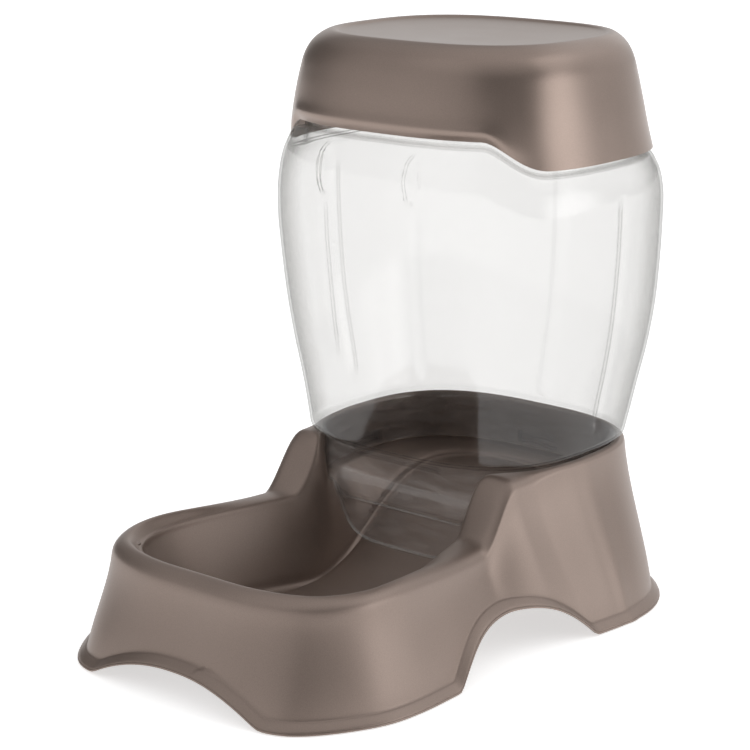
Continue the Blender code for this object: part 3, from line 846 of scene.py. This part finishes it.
def clear_plastic(name):
    """Clear moulded plastic: see-through face on and glossier at its edges, where painted shade
    also darkens its see-through tint.
    """
    material, nodes, place = new_material(name)
    bump = nodes.bump(nodes.noise(place, 28.0, 2.0), 0.2, 0.0006)
    facing = nodes.add("ShaderNodeLayerWeight", Blend=0.5, Normal=bump).outputs["Facing"]
    # See-through tint: the plastic's own pale grey face on, then painted shade towards the edges,
    # where it turns dark for the outlines that bending light draws there.
    tint_and_edge_shade = nodes.ramp(facing, [(0.0, (0.92, 0.918, 0.915)), (0.45, (0.9, 0.898, 0.895)),
                               (0.78, (0.73, 0.727, 0.72)), (1.0, (0.33, 0.33, 0.32))])
    through = nodes.add("ShaderNodeBsdfTransparent", Color=tint_and_edge_shade)
    shine = nodes.add("ShaderNodeBsdfGlossy", Color=(1.0, 1.0, 1.0, 1.0), Roughness=0.09,
                      Normal=bump)
    steep = nodes.math("POWER", facing, 5.0)
    clear_part = nodes.add("ShaderNodeMixShader", _0=nodes.remap(steep, (0.0, 1.0), (0.03, 0.55)),
                           _1=through.outputs["BSDF"], _2=shine.outputs["BSDF"])
    dull = nodes.add("ShaderNodeBsdfDiffuse", Color=(0.86, 0.8, 0.77, 1.0))
    both = nodes.add("ShaderNodeMixShader", _0=scuffs(nodes, place),
                     _1=clear_part.outputs["Shader"], _2=dull.outputs["BSDF"])
    nodes.add("ShaderNodeOutputMaterial", Surface=both.outputs["Shader"])
    return material


def rubber(name):
    """Matt black rubber with a fine grain and a little dust."""
    material, nodes, place = new_material(name)
    grain = nodes.noise(place, 1500.0, 3.0)
    dust = nodes.noise(place, 220.0, 4.0)
    colour = nodes.ramp(dust, [(0.4, (0.018, 0.018, 0.019)), (0.75, (0.05, 0.048, 0.045))])
    shader = nodes.add("ShaderNodeBsdfPrincipled", Base_Color=colour,
                       Roughness=nodes.remap(dust, (0.0, 1.0), (0.68, 0.9)),
                       Normal=nodes.bump(grain, 0.4, 0.0002))
    nodes.add("ShaderNodeOutputMaterial", Surface=shader.outputs["BSDF"])
    return material


def direction(azimuth, elevation):
    """The unit vector at an azimuth from +X towards +Y and an elevation, in degrees."""
    turn, rise = math.radians(azimuth), math.radians(elevation)
    return (math.cos(rise) * math.cos(turn), math.cos(rise) * math.sin(turn), math.sin(rise))


def make_surroundings():
    """White to the camera; to the object, dim walls with soft panels of light on them."""
    world = bpy.data.worlds.new("studio")
    bpy.context.scene.world = world
    world.use_nodes = True
    nodes = Nodes(world.node_tree)
    way = nodes.add("ShaderNodeTexCoord").outputs["Generated"]
    total = AMBIENT
    for azimuth, elevation, reach, strength in PANELS:
        along = nodes.add("ShaderNodeVectorMath", {"operation": "DOT_PRODUCT"}, _0=way,
                          _1=direction(azimuth, elevation)).outputs["Value"]
        edge = math.cos(math.radians(reach))
        glow = nodes.remap(along, (edge, 1.0), (0.0, strength), smooth=True)
        total = nodes.math("ADD", total, glow)
    seen = nodes.add("ShaderNodeLightPath").outputs["Is Camera Ray"]
    strength = nodes.add("ShaderNodeMix", {"data_type": "FLOAT"}, _0=seen, _2=total,
                         _3=BACKDROP)
    light = nodes.add("ShaderNodeBackground", Color=(0.8, 0.8, 0.8, 1.0),
                      Strength=strength.outputs[0])
    nodes.add("ShaderNodeOutputWorld", Surface=light.outputs["Background"])


def make_floor():
    """A plain pale floor that glows a little, so that shadows on it stay soft and light."""
    bm = bmesh.new()
    bmesh.ops.create_circle(bm, cap_ends=True, segments=96, radius=FLOOR_RADIUS)
    mesh = bpy.data.meshes.new("floor")
    bm.to_mesh(mesh)
    bm.free()
    floor = bpy.data.objects.new("floor", mesh)
    bpy.context.scene.collection.objects.link(floor)
    material, nodes, _ = new_material("studio_floor")
    shader = nodes.add("ShaderNodeBsdfPrincipled", Base_Color=(0.9, 0.9, 0.9, 1.0),
                       Roughness=0.9, Emission_Color=(1.0, 1.0, 1.0, 1.0),
                       Emission_Strength=FLOOR_GLOW)
    nodes.add("ShaderNodeOutputMaterial", Surface=shader.outputs["BSDF"])
    mesh.materials.append(material)


def make_camera():
    """The camera: place in metres, tilt and turn in degrees."""
    camera = bpy.data.cameras.new("camera")
    camera.sensor_width = 36.0
    camera.lens = 108.456
    obj = bpy.data.objects.new("camera", camera)
    obj.location = (0.7923, -0.9587, 0.4781)
    obj.rotation_euler = (math.radians(90 - 15.06), 0, math.radians(39.75))
    bpy.context.scene.collection.objects.link(obj)
    bpy.context.scene.camera = obj


make_camera()
make_floor()
make_surroundings()
bpy.context.scene.view_settings.view_transform = "Standard"

# The base and the lid are one pearl plastic. The lid's copy has colours about a tenth lighter
# than the base's, which is painted light, and it has more gloss and metal.
pearl_base = pearl_plastic("pearl_base", (0.244, 0.188, 0.16), (0.29, 0.224, 0.191),
                           (0.40, 0.46), 0.66)
pearl_lid = pearl_plastic("pearl_lid", (0.266, 0.206, 0.176), (0.315, 0.244, 0.209),
                          (0.31, 0.37), 0.8)
clear = clear_plastic("clear_hopper")
black = rubber("rubber")

for piece, body, slot in ((make_base(pearl_base), "base", "pearl_base"),
                          (make_hopper(clear), "hopper", "clear_hopper"),
                          (make_lid(pearl_lid), "lid", "pearl_lid")):
    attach(piece, body)
    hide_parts(body)
for end, side, spot in foot_spots():
    node = f"foot_{end}_{side}"
    foot = make_foot(node + "_looks", spot, black)
    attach(foot, "base")
    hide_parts(node)

bpy.context.view_layer.update()
